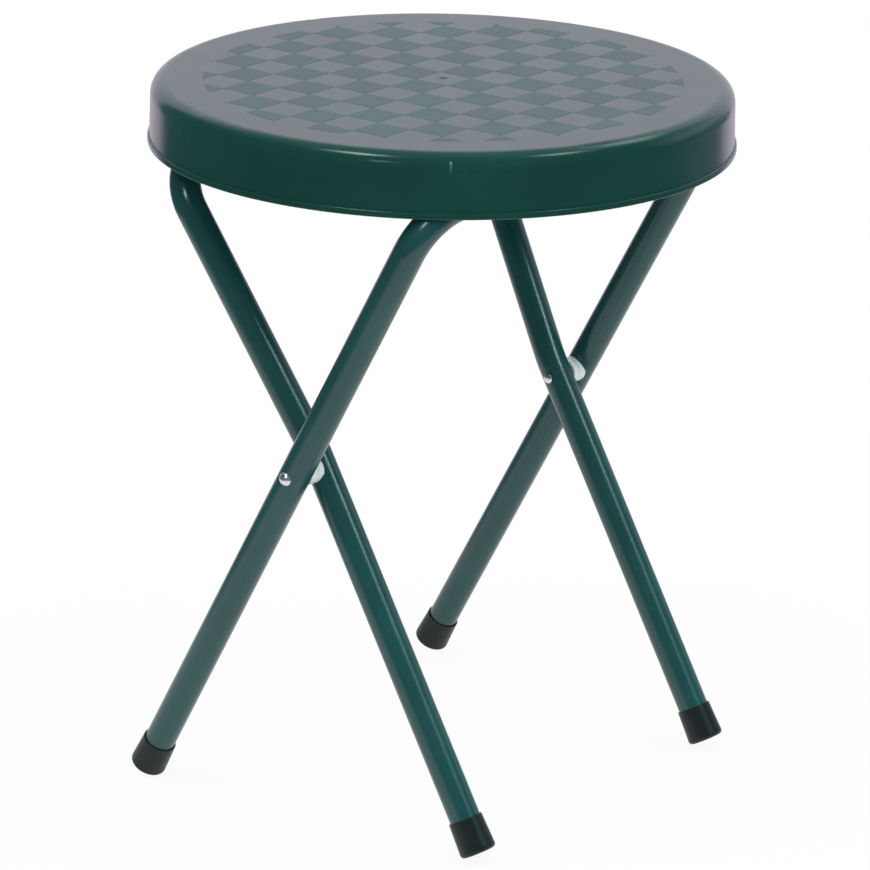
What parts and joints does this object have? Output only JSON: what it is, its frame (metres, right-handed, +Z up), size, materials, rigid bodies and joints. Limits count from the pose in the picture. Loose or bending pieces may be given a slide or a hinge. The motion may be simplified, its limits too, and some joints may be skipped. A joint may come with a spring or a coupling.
{
  "type": "folding stool",
  "caption": "Low folding stool: round moulded seat with a checkered top on crossed U-shaped tube legs with rubber foot caps.",
  "frame": {"origin": "on the floor, under the middle of the round seat", "axes": "+Z up, X along the pivot axis, the outer frame's bar is on the -Y side and its feet are on the +Y side"},
  "size_m": [0.3, 0.3, 0.367],
  "materials": {
    "seat_plastic": "moulded, satin gloss",
    "frame_paint": "powder coat, semi-gloss",
    "cap_rubber": "matt",
    "rivet_steel": "bright zinc",
    "saddle_nylon": "natural nylon",
    "strap_steel": "zinc plated"
  },
  "bodies": {
    "outer_frame": {"outer_frame_tube": "frame_paint", "foot_cap_outer_left": "cap_rubber", "foot_cap_outer_right": "cap_rubber", "pivot_rivet_left": "rivet_steel", "pivot_rivet_right": "rivet_steel", "saddle_outer_left": "saddle_nylon", "saddle_outer_right": "saddle_nylon"},
    "inner_frame": {"inner_frame_tube": "frame_paint", "foot_cap_inner_left": "cap_rubber", "foot_cap_inner_right": "cap_rubber", "saddle_inner_left": "saddle_nylon", "saddle_inner_right": "saddle_nylon"},
    "seat": {"seat_shell": "seat_plastic", "hinge_strap_left": "strap_steel", "hinge_strap_right": "strap_steel", "strap_screws": "strap_steel"}
  },
  "joints": [
    {"name": "leg_pivot", "type": "hinge", "parent": "outer_frame", "child": "inner_frame", "pos_m": [0, -0.004, 0.186], "axis": [1, 0, 0], "range_deg": [0, 47.5]},
    {"name": "seat_hinge", "type": "hinge", "parent": "outer_frame", "child": "seat", "pos_m": [0, -0.08565, 0.337], "axis": [1, 0, 0], "range_deg": [0, 30]}
  ]
}
